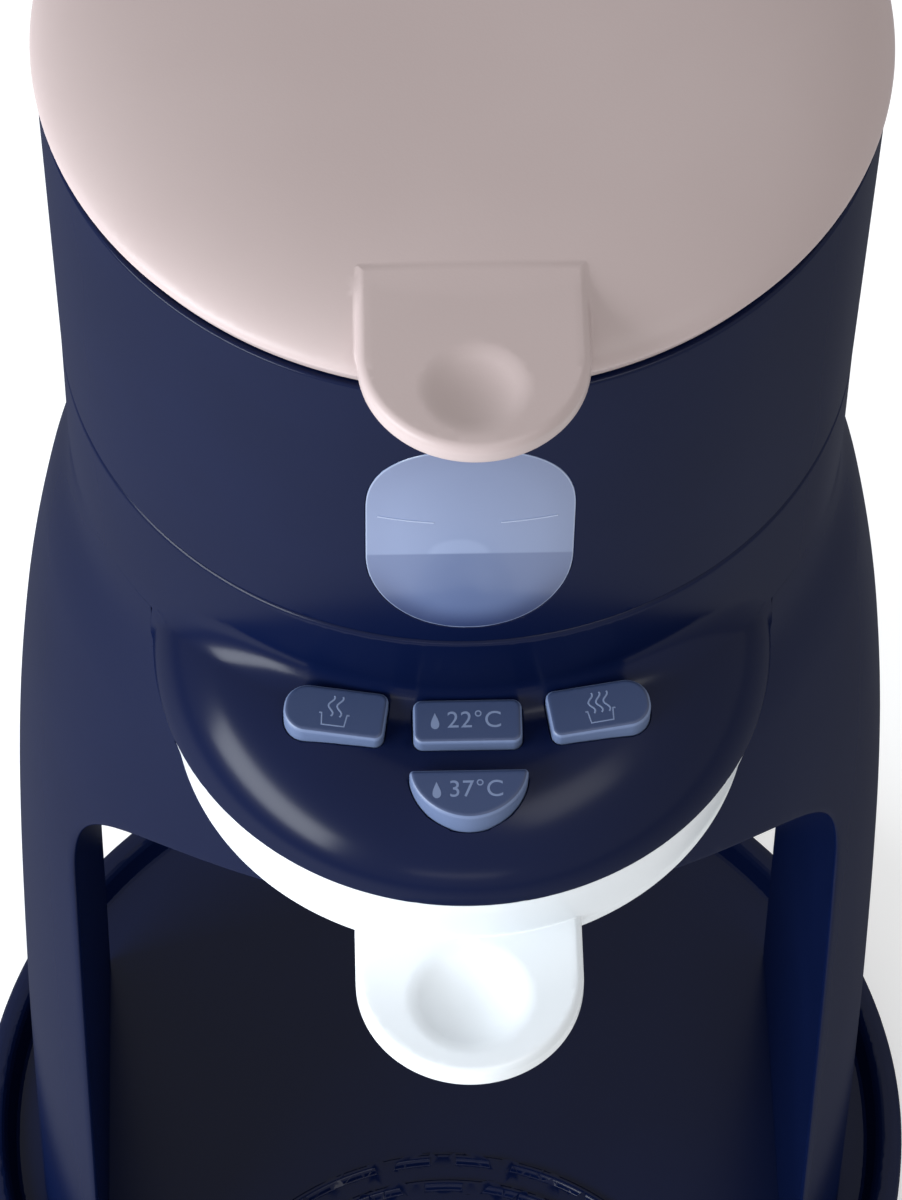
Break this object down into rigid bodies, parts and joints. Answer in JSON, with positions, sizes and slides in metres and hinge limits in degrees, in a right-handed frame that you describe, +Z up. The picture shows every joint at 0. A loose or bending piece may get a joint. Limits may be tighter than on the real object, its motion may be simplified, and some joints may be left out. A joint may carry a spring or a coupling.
{
  "type": "baby formula maker",
  "caption": "Countertop formula maker: lift-off water tank with tabbed lid on an arched housing, control head with keys, pull-out mixing drawer, bottle tray with warming plate.",
  "frame": {"origin": "middle of the part's box in plan, on the surface that the rubber feet stand on", "axes": "+Z up, -Y towards the user, where the keys and the drawer are, +X to the user's right"},
  "size_m": [0.162, 0.19, 0.3311],
  "materials": {
    "navy_housing": "satin moulded ABS, dark navy, very fine spark texture",
    "pink_lid": "satin moulded plastic, dusty pink",
    "white_drawer": "smooth white moulded plastic, slightly cool",
    "key_face": "satin slate-blue keys with printed pictograms",
    "tank_tint": "clear blue-grey tinted copolyester",
    "plate_coating": "dark non-stick coating, satin",
    "cast_heater": "as cast, light shot blast",
    "screw_steel": "zinc plated",
    "foot_rubber": "matt moulded rubber",
    "hose_silicone": "translucent silicone",
    "board_laminate": "solder-masked board",
    "switch_body": "black moulded plastic"
  },
  "bodies": {
    "housing": {"base_tray": "navy_housing", "base_plate": "navy_housing", "foot_1": "foot_rubber", "foot_2": "foot_rubber", "foot_3": "foot_rubber", "foot_4": "foot_rubber", "base_screw_1": "screw_steel", "base_screw_2": "screw_steel", "base_screw_3": "screw_steel", "base_screw_4": "screw_steel", "warming_plate": "plate_coating", "heating_element": "cast_heater", "plate_thermostat": "screw_steel", "cord_gland": "foot_rubber", "arch_housing": "navy_housing", "head_housing": "navy_housing", "head_underplate": "navy_housing", "water_spout": "white_drawer", "control_board": "board_laminate", "steam_warm_switch": "switch_body", "steam_sterilise_switch": "switch_body", "cool_water_switch": "switch_body", "warm_water_switch": "switch_body", "tank_deck": "navy_housing", "dock_seal": "foot_rubber", "works_cradle": "white_drawer", "flow_heater": "cast_heater", "water_pump": "switch_body", "supply_hose": "hose_silicone", "pressure_hose": "hose_silicone", "outlet_hose": "hose_silicone"},
    "drawer": {"mixing_drawer": "white_drawer"},
    "tank": {"tank_sleeve": "navy_housing", "tank_vessel": "tank_tint"},
    "valve": {"tank_valve": "white_drawer"},
    "tank_lid": {"lid": "pink_lid"},
    "warm_steam_button": {"steam_warm_key": "key_face"},
    "sterilise_steam_button": {"steam_sterilise_key": "key_face"},
    "cool_water_button": {"cool_water_key": "key_face"},
    "warm_water_button": {"warm_water_key": "key_face"}
  },
  "joints": [
    {"name": "drawer_slide", "type": "slide", "parent": "housing", "child": "drawer", "axis": [0, -1, 0], "range_m": [0, 0.075]},
    {"name": "tank_lift", "type": "slide", "parent": "housing", "child": "tank", "axis": [0, 0, 1], "range_m": [0, 0.08]},
    {"name": "lid_lift", "type": "slide", "parent": "tank", "child": "tank_lid", "axis": [0, 0, 1], "range_m": [0, 0.06]},
    {"name": "valve_lift", "type": "slide", "parent": "tank", "child": "valve", "axis": [0, 0, 1], "range_m": [0, 0.0015]},
    {"name": "steam_warm_press", "type": "slide", "parent": "housing", "child": "warm_steam_button", "axis": [0, 0.1219, -0.9925], "range_m": [0, 0.0012], "stiffness_N_per_m": 800, "springref_m": -0.001},
    {"name": "steam_sterilise_press", "type": "slide", "parent": "housing", "child": "sterilise_steam_button", "axis": [0, 0.1219, -0.9925], "range_m": [0, 0.0012], "stiffness_N_per_m": 800, "springref_m": -0.001},
    {"name": "cool_water_press", "type": "slide", "parent": "housing", "child": "cool_water_button", "axis": [0, 0.1219, -0.9925], "range_m": [0, 0.0012], "stiffness_N_per_m": 800, "springref_m": -0.001},
    {"name": "warm_water_press", "type": "slide", "parent": "housing", "child": "warm_water_button", "axis": [0, 0.1219, -0.9925], "range_m": [0, 0.0012], "stiffness_N_per_m": 800, "springref_m": -0.001}
  ]
}
